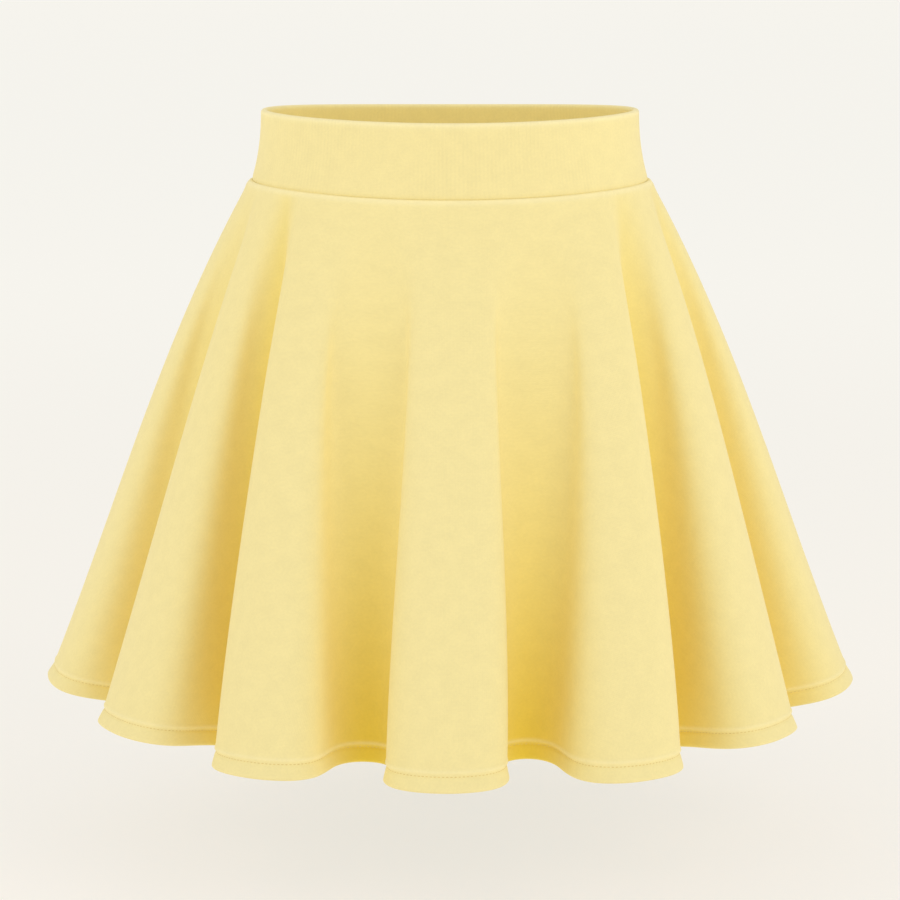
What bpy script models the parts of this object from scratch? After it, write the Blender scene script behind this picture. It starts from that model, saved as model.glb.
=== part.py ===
"""A circle skirt with a wide plain waistband, held open as if it were worn.

The skirt is a front and a back of thick knit, each cut as a wide sector of a ring, joined at the
sides. Together they take up about four fifths of a full circle. The waistband is a front and a back
strip, each folded double with its fold at the top. Each of the four is one solid.

Metres, +Z up. The front faces -Y and +X is to the viewer's right. The origin is on the skirt's own
axis, in the middle of the waistband's height, where the waist carries it. Angles go round that axis
from 0 at the front towards +X.
"""

import bmesh
import bpy
import numpy as np

MM = 0.001

# Waist. Both ovals are measured on the cloth's outer face, as half widths.
RIM_HALF_WIDTH = 120.5 * MM  # the band's top edge, across
RIM_HALF_DEPTH = 90.0 * MM  # the same, front to back
SEAM_HALF_WIDTH = 128.0 * MM  # the seam between band and skirt, across
SEAM_HALF_DEPTH = 97.5 * MM
RIM_HEIGHT = 22.8 * MM  # the top edge at the sides, above the origin
SEAM_HEIGHT = -21.5 * MM  # the seam at the sides
RIM_DIP = 2.5 * MM  # the top edge is this much lower at the front and back
SEAM_DIP = 7.0 * MM
BAND_CURVE = 2.2  # how quickly the band draws in above the seam: 1 is a straight cone

# Cloth.
CLOTH = 1.3 * MM  # one layer
BAND_WALL = 3.0 * MM  # the folded band, slightly puffed
HEM_WALL = 2.6 * MM  # the hem, where the edge is turned up
HEM_TURN_UP = 13.0 * MM  # height of the turned-up hem
HEM_TURN_STEP = 0.8 * MM  # the raw edge of the turn-up runs out over this height
HEM_FLARE = 1.2 * MM  # the hem's edge kicks out by this much below its stitching
SEAM_ROLL = 0.8 * MM  # the cloth rolls in by this much where it meets the waist seam
SEAM_ROLL_HEIGHT = 2.6 * MM
SEAM_STEP = 1.2 * MM  # the skirt's edge stands this much proud of the band above it
GAP = 0.3 * MM  # between two pieces that are sewn together

# Skirt.
HEM_HEIGHT = -356.0 * MM
HIP = 48.0 * MM  # strength of the swell over the hips, which is at the sides only
HIP_SIDES = 6  # the higher, the nearer to the sides the swell stays
FOLD_SOFTNESS = 0.03  # how slowly the folds start under the seam, as a share of the skirt
FOLD_POWER = 0.85  # below 1 the folds deepen fastest near the top
OVERHANG = 0.5  # how far a fold's flanks lean back under its crest
CREST_WIDTH = 0.45  # at the hem, how much wider the crests are than the valleys
CREST_WIDTH_START = 0.2  # down to this share of the skirt they are equally wide
FOLDED_FULLY = 0.35  # share of the skirt where the flanks have their full lean

# The folds in order round the skirt. Each row is a crest and the valley after it: their angles in
# degrees at the waist seam and at the hem, their reach from the axis at the hem and the height of the
# hem above HEM_HEIGHT, in mm.
#    crest                       valley
#    seam    hem  reach rise     seam    hem  reach rise
FOLDS = (
    (-90.0, -92.0, 264, 7, -72.5, -73.0, 203, -4),  # left side
    (-62.5, -57.0, 247, 3, -51.0, -43.0, 190, -5),
    (-42.0, -28.5, 252, 1, -22.5, -15.0, 190, 0),
    (-0.5, -0.5, 255, -1, 21.5, 13.0, 186, 1),  # middle of the front
    (44.0, 26.5, 254, -1, 54.0, 41.5, 190, -5),
    (66.5, 54.0, 249, 2, 79.0, 69.5, 200, -7),
    (90.0, 89.0, 263, 7, 103.0, 101.0, 200, 1),  # right side
    (114.5, 113.5, 251, 2, 126.5, 126.0, 196, 1),
    (138.5, 137.0, 254, 0, 153.0, 152.0, 188, 0),
    (167.0, 167.5, 256, 0, 181.0, 181.0, 186, 0),  # middle of the back
    (194.0, 193.0, 252, 0, 206.0, 205.5, 193, 0),
    (218.5, 219.0, 255, 1, 231.5, 232.5, 194, 1),
    (244.5, 245.0, 249, 2, 257.0, 257.5, 200, 4),
)
LEFT_SEAM_FOLD = 0  # the side seams run down the crests of these folds
RIGHT_SEAM_FOLD = 6

# Finish.
FRONT_COLOUR = (0.90, 0.74, 0.27)
BACK_COLOUR = (0.86, 0.69, 0.25)
BAND_COLOUR = (0.88, 0.72, 0.26)
ROUGHNESS = 0.9
SHARP = np.radians(60.0)  # edges that turn more than this are shaded sharp

# Fineness.
COLUMNS_PER_FLANK = 7  # columns of points from a crest to its valley
CURVE_STEPS = 400  # steps in which a flank's outline is measured
BEND_LENGTH = 20.0 * MM  # a turn of one radian counts as this much length when columns are shared out
BAND_COLUMNS = 32
SKIRT_ROWS = (0.06, 0.14, 0.24, 0.36, 0.50, 0.64, 0.78, 0.90)  # shares of the way down
BAND_ROWS = (0.25, 0.50, 0.75)  # shares of the way up
EDGE_ROWS = (1.5 * MM, 0.45 * MM, 0.03 * MM)  # distances from a folded edge, which is round


def smooth(share):
    """Ease from 0 to 1 with a level start and end."""
    share = np.clip(share, 0.0, 1.0)
    return share * share * (3.0 - 2.0 * share)


def fold_turn(along, crest_width):
    """Share of the angle from a crest to its valley at a share of the way along the flank."""
    lean = OVERHANG * np.sin(2.0 * np.pi * along)
    widen = crest_width * np.sin(np.pi * along)
    return along + (lean + widen) / np.pi


def nearness_to_crest(along):
    """1 on the crest, 0 in the valley."""
    return (1.0 + np.cos(np.pi * along)) / 2.0


def open_reach(crest, other_crest, along):
    """Reach of a flank's outline as if it had no fold: from its crest's to halfway to the other's."""
    return crest[2] + (other_crest[2] - crest[2]) / 2.0 * smooth(along)


def flank_columns(crest, valley, other_crest):
    """Columns from a crest to a valley, closer together where the cloth bends.

    crest and valley are (seam angle, hem angle, reach, rise), and the other crest is the one beyond the
    valley. Each column knows its share of the way along the flank's outline, the share of the flank's
    cloth that lies before it and its reach at the hem as if there were no fold.
    """
    along = np.linspace(0.0, 1.0, CURVE_STEPS + 1)
    opened = open_reach(crest, other_crest, along)
    reach = valley[2] + (opened - valley[2]) * nearness_to_crest(along)
    angle = np.radians(crest[1] + (valley[1] - crest[1]) * fold_turn(along, CREST_WIDTH))
    step = np.diff(reach * MM * np.exp(1j * angle))
    length = np.concatenate([[0.0], np.cumsum(np.abs(step))])
    turn = np.cumsum(np.abs(np.angle(step[1:] / step[:-1])))
    spacing = length + BEND_LENGTH * np.concatenate([[0.0, 0.0], turn])
    stops = np.interp(np.linspace(0.0, spacing[-1], COLUMNS_PER_FLANK + 1), spacing, along)
    cloth = np.interp(stops, along, length / length[-1])
    opened = open_reach(crest, other_crest, stops)
    return [dict(crest=crest, valley=valley, along=a, cloth=c, opened=o)
            for a, c, o in zip(stops, cloth, opened)]


def skirt_columns():
    """The columns of the whole skirt in order, two flanks for each fold from its crest on."""
    columns = []
    for number, fold in enumerate(FOLDS):
        after = FOLDS[(number + 1) % len(FOLDS)]
        whole_turn = 360.0 if after is FOLDS[0] else 0.0
        next_crest = (after[0] + whole_turn, after[1] + whole_turn, after[2], after[3])
        columns += flank_columns(fold[:4], fold[4:], next_crest)[:-1]
        columns += flank_columns(next_crest, fold[4:], fold[:4])[:0:-1]
    return columns


def seam_height(angle):
    return SEAM_HEIGHT - SEAM_DIP * np.cos(angle) ** 2


def skirt_point(column, down):
    """A point on the skirt's outer face, at a share of the way down from the waist seam."""
    crest, valley, along, cloth = (column[key] for key in ("crest", "valley", "along", "cloth"))
    crest_angle = crest[0] + (crest[1] - crest[0]) * down
    valley_angle = valley[0] + (valley[1] - valley[0]) * down
    widen = smooth((down - CREST_WIDTH_START) / (1.0 - CREST_WIDTH_START))
    lean = smooth(down / FOLDED_FULLY)
    share = cloth + (fold_turn(along, CREST_WIDTH * widen) - cloth) * lean
    angle = np.radians(crest_angle + (valley_angle - crest_angle) * share)

    swell = HIP * down * (1.0 - down) ** 2 * abs(np.sin(angle)) ** HIP_SIDES
    half_width = SEAM_HALF_WIDTH + (column["opened"] * MM - SEAM_HALF_WIDTH) * down + swell
    half_depth = SEAM_HALF_DEPTH + (column["opened"] * MM - SEAM_HALF_DEPTH) * down + swell
    growth = (down * down / (down + FOLD_SOFTNESS) * (1.0 + FOLD_SOFTNESS)) ** FOLD_POWER
    depth = (column["opened"] - valley[2]) * MM * (1.0 - nearness_to_crest(along)) * growth
    shrink = 1.0 - depth / max(half_width, half_depth)

    top = seam_height(angle)
    rise = valley[3] + (crest[3] - valley[3]) * nearness_to_crest(along)
    bottom = HEM_HEIGHT + rise * MM
    return np.array([
        half_width * shrink * np.sin(angle),
        -half_depth * shrink * np.cos(angle),
        top + (bottom - top) * down,
    ])


def band_point(angle, up):
    """A point on the waistband's outer face, at a share of the way up from the waist seam."""
    spread = (1.0 - up) ** BAND_CURVE
    half_width = RIM_HALF_WIDTH + (SEAM_HALF_WIDTH - SEAM_STEP - RIM_HALF_WIDTH) * spread
    half_depth = RIM_HALF_DEPTH + (SEAM_HALF_DEPTH - SEAM_STEP - RIM_HALF_DEPTH) * spread
    bottom = seam_height(angle) + GAP
    top = RIM_HEIGHT - RIM_DIP * np.cos(angle) ** 2
    return np.array([half_width * np.sin(angle), -half_depth * np.cos(angle), bottom + (top - bottom) * up])


def folded_edge(distance, wall):
    """Inset of the outer face and thickness of the wall near a folded edge, which is half round."""
    radius = wall / 2.0
    if distance >= radius:
        return 0.0, wall
    half = np.sqrt(distance * (wall - distance))
    return radius - half, 2.0 * half


def skirt_rows():
    """Rows of a skirt panel as (share of the way down, inset of the outer face, thickness)."""
    length = SEAM_HEIGHT - HEM_HEIGHT
    rows = [(0.0, SEAM_ROLL, CLOTH), (SEAM_ROLL_HEIGHT / length, 0.0, CLOTH)]
    rows += [(down, 0.0, CLOTH) for down in SKIRT_ROWS]
    rows.append((1.0 - (HEM_TURN_UP + HEM_TURN_STEP) / length, 0.0, CLOTH))
    rows.append((1.0 - HEM_TURN_UP / length, 0.0, HEM_WALL))
    for distance in EDGE_ROWS:
        inset, wall = folded_edge(distance, HEM_WALL)
        rows.append((1.0 - distance / length, inset - HEM_FLARE, wall))
    return rows


def band_rows():
    """Rows of a waistband strip as (share of the way up, inset of the outer face, thickness)."""
    height = RIM_HEIGHT - SEAM_HEIGHT
    rows = [(0.0, SEAM_ROLL, BAND_WALL), (SEAM_ROLL_HEIGHT / height, 0.0, BAND_WALL)]
    rows += [(up, 0.0, BAND_WALL) for up in BAND_ROWS]
    rows += [(1.0 - distance / height, *folded_edge(distance, BAND_WALL)) for distance in EDGE_ROWS]
    return rows


def cloth_faces(columns, rows, point):
    """Outer and inner face of a piece that goes all round, as two arrays of points, rows by columns."""
    base = np.array([[point(column, row[0]) for column in columns] for row in rows])
    across = np.roll(base, -1, axis=1) - np.roll(base, 1, axis=1)
    outward = np.cross(np.gradient(base, axis=0), across)
    outward /= np.linalg.norm(outward, axis=2, keepdims=True)
    outward *= np.sign(np.sum(outward[..., :2] * base[..., :2]))
    inset = np.array([row[1] for row in rows])[:, None, None]
    wall = np.array([row[2] for row in rows])[:, None, None]
    return base - outward * inset, base - outward * (inset + wall)


def panel(face, first, last):
    """The columns of a face from first to last, with both ends half a gap short."""
    face = face[:, np.arange(first, last + 1) % face.shape[1]]
    for end, inner in ((0, 1), (-1, -2)):
        away = face[:, inner] - face[:, end]
        face[:, end] += away / np.linalg.norm(away, axis=1, keepdims=True) * GAP / 2.0
    return face


def add_material(name, colour):
    material = bpy.data.materials.new(name)
    material.use_nodes = True
    shader = material.node_tree.nodes["Principled BSDF"]
    shader.inputs["Base Color"].default_value = (*colour, 1.0)
    shader.inputs["Roughness"].default_value = ROUGHNESS
    shader.inputs["Metallic"].default_value = 0.0
    return material


def add_cloth(name, outer, inner, colour):
    """One sewn piece: a grid laid on its outer face and extruded to its inner face."""
    rows, columns = outer.shape[:2]
    bm = bmesh.new()
    bmesh.ops.create_grid(bm, x_segments=columns - 1, y_segments=rows - 1, size=0.5)
    layer_out = bmesh.ops.extrude_face_region(bm, geom=bm.faces[:])["geom"]
    extruded = {element for element in layer_out if isinstance(element, bmesh.types.BMVert)}
    for vertex in bm.verts:
        column = round((vertex.co.x + 0.5) * (columns - 1))
        row = round((vertex.co.y + 0.5) * (rows - 1))
        vertex.co = inner[row, column] if vertex in extruded else outer[row, column]
    bmesh.ops.recalc_face_normals(bm, faces=bm.faces)

    mesh = bpy.data.meshes.new(name)
    bm.to_mesh(mesh)
    bm.free()
    mesh.shade_smooth()
    mesh.set_sharp_from_angle(angle=SHARP)
    mesh.materials.append(add_material(name, colour))
    cloth = bpy.data.objects.new(name, mesh)
    bpy.context.scene.collection.objects.link(cloth)


def build():
    for old in list(bpy.data.objects):
        bpy.data.objects.remove(old)

    outer, inner = cloth_faces(skirt_columns(), skirt_rows(), skirt_point)
    per_fold = 2 * COLUMNS_PER_FLANK
    left = LEFT_SEAM_FOLD * per_fold
    right = RIGHT_SEAM_FOLD * per_fold
    whole_turn = len(FOLDS) * per_fold
    add_cloth("skirt_front", panel(outer, left, right), panel(inner, left, right), FRONT_COLOUR)
    left += whole_turn
    add_cloth("skirt_back", panel(outer, right, left), panel(inner, right, left), BACK_COLOUR)

    angles = np.linspace(-np.pi / 2.0, 3.0 * np.pi / 2.0, 2 * BAND_COLUMNS, endpoint=False)
    outer, inner = cloth_faces(angles, band_rows(), band_point)
    half, whole = BAND_COLUMNS, 2 * BAND_COLUMNS
    add_cloth("waistband_front", panel(outer, 0, half), panel(inner, 0, half), BAND_COLOUR)
    add_cloth("waistband_back", panel(outer, half, whole), panel(inner, half, whole), BAND_COLOUR)


build()
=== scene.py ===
# %% [markdown]
# # A circle skirt, cut flat and hung
#
# A circle skirt is cut from the ring round a hole. Here a front and a back are each cut as a wide
# sector of that ring and sewn together at the sides, so the hem is far longer than the waist and the
# extra cloth hangs in deep round folds. A wide band of the same knit, folded double, holds the waist.
#
# The lesson works as a maker does: each piece is cut flat, its hem is turned up, and only then is it
# hung. One function carries any point of the flat cloth to its place on the hanging skirt, so the
# stitches and the seams, which are also made flat, end up exactly on the cloth.

import bmesh
import bpy
import numpy as np
from mathutils import Matrix, Vector


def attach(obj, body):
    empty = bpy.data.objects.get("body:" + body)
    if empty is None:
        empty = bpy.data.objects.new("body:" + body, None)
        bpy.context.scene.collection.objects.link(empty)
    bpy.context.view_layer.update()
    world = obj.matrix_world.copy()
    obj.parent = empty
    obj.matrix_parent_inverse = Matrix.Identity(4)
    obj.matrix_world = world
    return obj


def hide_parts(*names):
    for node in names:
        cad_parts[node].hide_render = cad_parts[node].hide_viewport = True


MM = 0.001
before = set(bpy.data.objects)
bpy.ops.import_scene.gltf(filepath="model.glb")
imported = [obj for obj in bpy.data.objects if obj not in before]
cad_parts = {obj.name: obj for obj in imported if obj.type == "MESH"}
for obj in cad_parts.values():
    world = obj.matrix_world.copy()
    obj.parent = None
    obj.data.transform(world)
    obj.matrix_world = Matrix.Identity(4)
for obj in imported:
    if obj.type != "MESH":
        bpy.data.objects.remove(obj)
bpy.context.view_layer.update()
print("solids:", sorted(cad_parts))

# %% [markdown]
# The helpers below are used by every material. Colours are written as hex values, as a colour picker
# shows them, and a shader wants them linear. One function adds a node, sets it up, links it and hands
# back the output that the next node needs, so a material reads as a list of what it is made of.

# %% Colour and node helpers


def linear(hex_colour):
    """An sRGB colour such as "F3DD8C" as the linear values that a shader takes."""
    channels = [int(hex_colour[i:i + 2], 16) / 255 for i in (0, 2, 4)]
    return (*[c / 12.92 if c <= 0.04045 else ((c + 0.055) / 1.055) ** 2.4 for c in channels], 1.0)


def set_inputs(tree, node, inputs):
    """Give a node's inputs a value or a link each."""
    for name, value in inputs.items():
        if isinstance(value, bpy.types.NodeSocket):
            tree.links.new(value, node.inputs[name])
        else:
            node.inputs[name].default_value = value


def add_node(tree, kind, output, inputs=None, **settings):
    """Add a shader node with its settings, values and links, and return one of its outputs."""
    node = tree.nodes.new("ShaderNode" + kind)
    for name, value in settings.items():
        setattr(node, name, value)
    set_inputs(tree, node, inputs or {})
    return node.outputs[output]


print("middle grey, as a shader takes it:", [round(channel, 3) for channel in linear("808080")])

# %% [markdown]
# The skirt's form is a table of its folds. Each row is a crest, which stands out, and the valley after
# it, which lies in. At the waist seam they are only angles on a smooth oval. At the hem each also has a
# reach from the axis. Simulated cloth could find folds of its own, but a table puts every fold where
# it is wanted and gives the same skirt on every run.

# %% Sizes of the hanging skirt
RIM_HALF_WIDTH = 120.5 * MM  # the band's top edge, across
RIM_HALF_DEPTH = 94.0 * MM  # the same, front to back
SEAM_HALF_WIDTH = 128.0 * MM  # the seam between band and skirt, across
SEAM_HALF_DEPTH = 97.5 * MM
RIM_HEIGHT = 22.1 * MM  # the top edge at the sides, above the origin
SEAM_HEIGHT = -22.2 * MM  # the seam at the sides
RIM_DIP = 3.1 * MM  # the top edge is this much lower at the front and back
SEAM_DIP = 4.8 * MM
BAND_CURVE = 2.2  # how quickly the band draws in above the seam
SEAM_STEP = 1.2 * MM  # the skirt's edge stands this much proud of the band above it

HEM_HEIGHT = -356.0 * MM
HIP = 48.0 * MM  # strength of the swell over the hips, which is at the sides only
HIP_SIDES = 6  # the higher, the nearer to the sides the swell stays
FOLD_SOFTNESS = 0.03  # how slowly the folds start under the seam, as a share of the skirt
FOLD_POWER = 0.85  # below 1 the folds deepen fastest near the top
OVERHANG = 0.5  # how far a fold's flanks lean back under its crest
CREST_WIDTH = 0.45  # at the hem, how much wider the crests are than the valleys
CREST_WIDTH_START = 0.2  # down to this share of the skirt they are equally wide
FOLDED_FULLY = 0.35  # share of the skirt where the flanks have their full lean

# Angles in degrees at the seam and at the hem, from 0 at the front towards the viewer's right, then
# the reach at the hem and the hem's height above HEM_HEIGHT, in mm.
#    crest                       valley
#    seam    hem  reach rise     seam    hem  reach rise
FOLDS = (
    (-90.0, -92.0, 264, 7.5, -72.5, -73.0, 203, -4),  # left side
    (-62.5, -57.0, 247, 4.5, -51.5, -42.5, 186, -5),
    (-44.0, -28.5, 252, 1, -19.0, -14.6, 190, 0),
    (-0.5, -0.5, 255, 1, 24.0, 13.5, 186, 1),  # middle of the front
    (45.5, 26.5, 254, 0.5, 55.5, 42.0, 184, -5),
    (68.0, 54.3, 249, 3.5, 80.5, 70.2, 200, -7),
    (90.0, 89.0, 263, 8, 103.0, 101.0, 200, 1),  # right side
    (114.5, 113.5, 251, 2, 126.5, 126.0, 196, 1),
    (138.5, 137.0, 254, 0, 153.0, 152.0, 188, 0),
    (167.0, 167.5, 256, 0, 181.0, 181.0, 186, 0),  # middle of the back
    (194.0, 193.0, 252, 0, 206.0, 205.5, 193, 0),
    (218.5, 219.0, 255, 1, 231.5, 232.5, 194, 1),
    (244.5, 245.0, 249, 2, 257.0, 257.5, 200, 4),
)
RIGHT_SEAM_FOLD = 6  # the side seams run down the crests of fold 0 and of this one
print("folds:", len(FOLDS))

# %% [markdown]
# Between a crest and its valley the cloth makes a flank. A plain wave would give flanks that only
# slope. Real folds of soft knit are fuller: the crest is a round tube and the flanks lean back under
# it. So the angle runs ahead of the wave and back again on the way, which is what fold_turn does.
#
# The hem's outline is walked once with small steps. That gives the length of cloth along it, and from
# then on a place on the skirt is a length along the hem and a share of the way down.
#
# The folds' colour carries painted shade, and it is uneven, as a lamp at the right shades one flank of a
# fold at the front more than the other. On the flank from a crest into its valley the pale colour keeps
# far down, and on the flank that climbs to the next crest the painted shade comes in sooner. Each step of
# the walk also knows which flank it is on, and how wide its fold is.

# %% The hem's outline
WALK_STEPS = 400  # on each flank
LATE_SHADE_FLANK = 2.0  # painted shade: how late the flank from a crest into its valley turns from pale to deep
# painted shade: the same for the flank that climbs to the next crest, which turns sooner
SOON_SHADE_FLANK = 1.2


def smooth(share):
    """Ease from 0 to 1 with a level start and end."""
    share = np.clip(share, 0.0, 1.0)
    return share * share * (3.0 - 2.0 * share)


def fold_turn(along, crest_width):
    """Share of the angle from a crest to its valley at a share of the way along the flank."""
    lean = OVERHANG * np.sin(2.0 * np.pi * along)
    widen = crest_width * np.sin(np.pi * along)
    return along + (lean + widen) / np.pi


def nearness_to_crest(along):
    """1 on the crest, 0 in the valley."""
    return (1.0 + np.cos(np.pi * along)) / 2.0


def walk_hem():
    """The hem's outline in small steps, as a dictionary of arrays, from the left side seam round."""
    flanks = []
    start = 0.0
    for number, fold in enumerate(FOLDS):
        after = FOLDS[(number + 1) % len(FOLDS)]
        turn = 360.0 if number + 1 == len(FOLDS) else 0.0
        crests = (fold[:4], (after[0] + turn, after[1] + turn, *after[2:4]))
        valley = fold[4:]
        for crest, other, to_valley in ((*crests, True), (*crests[::-1], False)):
            along = np.linspace(0.0, 1.0, WALK_STEPS + 1)
            opened = crest[2] + (other[2] - crest[2]) / 2.0 * smooth(along)
            reach = valley[2] + (opened - valley[2]) * nearness_to_crest(along)
            angle = np.radians(crest[1] + (valley[1] - crest[1]) * fold_turn(along, CREST_WIDTH))
            step = np.abs(np.diff(reach * MM * np.exp(1j * angle)))
            walked = np.concatenate([[0.0], np.cumsum(step)])
            order = slice(None) if to_valley else slice(None, None, -1)
            flanks.append({
                "length": start + (walked if to_valley else walked[-1] - walked[::-1]),
                "along": along[order],
                "cloth": (walked / walked[-1])[order],
                "opened": opened[order],
                "width": np.full(along.shape, crests[1][0] - crests[0][0]),
                "shade_power": np.full(along.shape, LATE_SHADE_FLANK if to_valley else SOON_SHADE_FLANK),
                "crest": np.tile(crest, (along.size, 1)),
                "valley": np.tile(valley, (along.size, 1)),
            })
            start += walked[-1]
    return {name: np.concatenate([flank[name] for flank in flanks]) for name in flanks[0]}


HEM = walk_hem()
HEM_LENGTH = HEM["length"][-1]
RIGHT_SEAM = HEM["length"][RIGHT_SEAM_FOLD * 2 * (WALK_STEPS + 1)]
print("hem: %.3f m round, %.3f m of it in front" % (HEM_LENGTH, RIGHT_SEAM))

# %% [markdown]
# The next function is the form itself: the outer face of the skirt. The oval of the seam grows into
# the hem's outline, with a swell over the hips, while the valleys sink in and the crests stand.
#
# valley_depth says how far a place is closed in between two crests. The knit's colour uses it later as
# the mask of the shade painted into the folds: a narrow fold closes in right under the waist, and a wide
# one only near the hem.

# %% The skirt's outer face
NARROW_FOLD = 20.0  # degrees at the seam between two crests that stand close together
NARROW_START = 0.45  # how slowly a narrow fold closes in on the way down
WIDE_START = 1.6  # the higher, the more slowly a wide one does


def skirt_face(length, down):
    """Points on the outer face, from lengths along the hem and shares of the way down."""
    length = np.mod(length, HEM_LENGTH)
    flank = np.searchsorted(HEM["length"], length, side="right").clip(1, len(HEM["length"]) - 1)
    crest, valley = HEM["crest"][flank].T, HEM["valley"][flank].T
    along, cloth, opened = (np.interp(length, HEM["length"], HEM[name])
                            for name in ("along", "cloth", "opened"))

    crest_angle = crest[0] + (crest[1] - crest[0]) * down
    valley_angle = valley[0] + (valley[1] - valley[0]) * down
    widen = smooth((down - CREST_WIDTH_START) / (1.0 - CREST_WIDTH_START))
    share = cloth + (fold_turn(along, CREST_WIDTH * widen) - cloth) * smooth(down / FOLDED_FULLY)
    angle = np.radians(crest_angle + (valley_angle - crest_angle) * share)

    swell = HIP * down * (1.0 - down) ** 2 * abs(np.sin(angle)) ** HIP_SIDES
    half_width = SEAM_HALF_WIDTH + (opened * MM - SEAM_HALF_WIDTH) * down + swell
    half_depth = SEAM_HALF_DEPTH + (opened * MM - SEAM_HALF_DEPTH) * down + swell
    growth = (down * down / (down + FOLD_SOFTNESS) * (1.0 + FOLD_SOFTNESS)) ** FOLD_POWER
    depth = (opened - valley[2]) * MM * (1.0 - nearness_to_crest(along)) * growth
    shrink = 1.0 - depth / np.maximum(half_width, half_depth)

    top = SEAM_HEIGHT - SEAM_DIP * np.cos(angle) ** 2
    rise = valley[3] + (crest[3] - valley[3]) * nearness_to_crest(along)
    bottom = HEM_HEIGHT + rise * MM
    return np.stack([half_width * shrink * np.sin(angle),
                     -half_depth * shrink * np.cos(angle),
                     top + (bottom - top) * down], axis=-1)


def valley_depth(length, down):
    """How closed in a place is: 0 on a crest and at the waist, 1 in a valley at the hem."""
    # This is the mask of the shade painted into the folds. Each flank's own power makes that painted
    # shade come in sooner on one flank of a fold than on the other.
    along, width, shade_power = (np.interp(np.mod(length, HEM_LENGTH), HEM["length"], HEM[name])
                         for name in ("along", "width", "shade_power"))
    start = NARROW_START * (width / NARROW_FOLD) ** WIDE_START
    return (1.0 - nearness_to_crest(along)) ** shade_power * np.clip(down, 0.0, 1.0) ** start


def outward(face, across, down, step_across, step_down):
    """Unit vectors pointing out of a face, from small steps across and down it."""
    sideways = face(across + step_across, down) - face(across - step_across, down)
    downwards = face(across, down + step_down) - face(across, down - step_down)
    normal = np.cross(downwards, sideways)
    return normal / np.linalg.norm(normal, axis=-1, keepdims=True)


print("hem's middle in front:", skirt_face(np.array([RIGHT_SEAM / 2]), np.array([1.0]))[0].round(4))

# %% [markdown]
# Both the hem and the top of the band are cloth turned over on itself. A turn is the same shape in
# each: straight, half round, and straight back. fold_over bends flat cloth that way round an edge, and
# every layer keeps its distance from the cloth's middle, so the bend has a real thickness.

# %% Turning cloth over an edge
CLOTH = 1.3 * MM  # thickness of one layer
TURN_RADIUS = 0.7 * MM  # of the hem's edge, and of the roll at the waist seam


def fold_over(beyond, height, radius):
    """Bend cloth round an edge.

    beyond is how far past the middle of the turn a point lies along the cloth, and height how far
    above the cloth's middle. The result is its distance back from the edge, and how far it lies
    outward of the first layer's middle.
    """
    turn = np.clip(beyond / radius + np.pi / 2.0, 0.0, np.pi)
    straight = np.maximum(np.abs(beyond) - np.pi * radius / 2.0, 0.0)
    back = radius - (radius + height) * np.sin(turn) + straight
    return back, -radius + (radius + height) * np.cos(turn)


def slack(radius):
    """The cloth that a turn takes up, beyond the distance to its edge."""
    return np.pi * radius / 2.0 - radius


def relief(places, size):
    """How high a soft bump is at some places, from its height, its own place and its width."""
    height, middle, width = size
    return height * np.exp(-((places - middle) / width) ** 2)


def ripple(length, wave):
    """An uneven ripple along a seam, between -1 and 1. wave is about its length."""
    # Three waves whose lengths don't fit into each other, so that the ripple doesn't look regular.
    turns = 2.0 * np.pi * length / wave
    return (np.sin(turns) + np.sin(0.73 * turns + 1.3) + np.sin(1.61 * turns + 0.4)) / 3.0


print("a turned edge is %.1f mm thick" % ((2.0 * TURN_RADIUS + CLOTH) / MM))

# %% [markdown]
# Cutting. A panel is a sector of a ring. A line of points along the grain, from the seam allowance at
# the waist to the end of the turn-up, is spun round the centre of the circle, and the sheet it leaves
# is pulled down by the thickness of the cloth. Points lie closer where the cloth will bend most: at
# the waist seam, at the hem and beside the side seams.

# %% Cut a skirt panel
SKIRT_LENGTH = 351.5 * MM  # from the waist seam to the hem's edge, on the flat cloth
HEM_RADIUS = 497.0 * MM  # the hem's edge, from the centre of the circle
SEAM_RADIUS = HEM_RADIUS - SKIRT_LENGTH  # the waist seam
SEAM_ALLOWANCE = 7.0 * MM
HEM_TURN_UP = 13.0 * MM
RAW_WAIST = SEAM_RADIUS - SEAM_ALLOWANCE  # the two raw edges, from the centre too
RAW_HEM = HEM_RADIUS + HEM_TURN_UP
PANEL_ANGLE = HEM_LENGTH / 2.0 / HEM_RADIUS  # the front and the back are cut the same
MERGE = 0.01 * MM  # spinning leaves points this close together twice

# The columns of points, as (width at the hem, number), close together beside the side seams, and the
# rows, from the raw edge at the waist down: where each stretch ends, measured from the waist seam or
# from the hem's edge, and how far apart its rows are, in mm.
SIDE_COLUMNS = (8.0 * MM, 6)
MIDDLE_COLUMNS = 335
WAIST_ROWS = ((-1.5, 2.0), (1.5, 0.3), (5.0, 0.9), (20.0, 3.0), (332.0, 5.2))
HEM_ROWS = ((-13.6, 1.5), (-5.0, 0.6), (-1.5, 1.2), (1.5, 0.3), (6.0, 1.5), (12.6, 0.8), (13.0, 0.4))


def row_stops(start, stretches):
    """Places along a line, a new spacing for each stretch."""
    stops = [start]
    for end, spacing in stretches:
        count = max(1, round((end - stops[-1]) / spacing))
        stops += list(np.linspace(stops[-1], end, count + 1)[1:])
    return stops


def grain_line():
    """Distances down the grain from the waist seam, in metres."""
    stops = row_stops(-SEAM_ALLOWANCE / MM, WAIST_ROWS)
    hem = SKIRT_LENGTH / MM
    stops += [hem + stop for stop in row_stops(stops[-1] - hem, HEM_ROWS)[1:]]
    return np.array(stops) * MM


def line_of_points(bm, places):
    """Points in a row, joined by edges."""
    points = [bm.verts.new(place) for place in places]
    edges = [bm.edges.new(pair) for pair in zip(points, points[1:])]
    return points + edges


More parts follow.
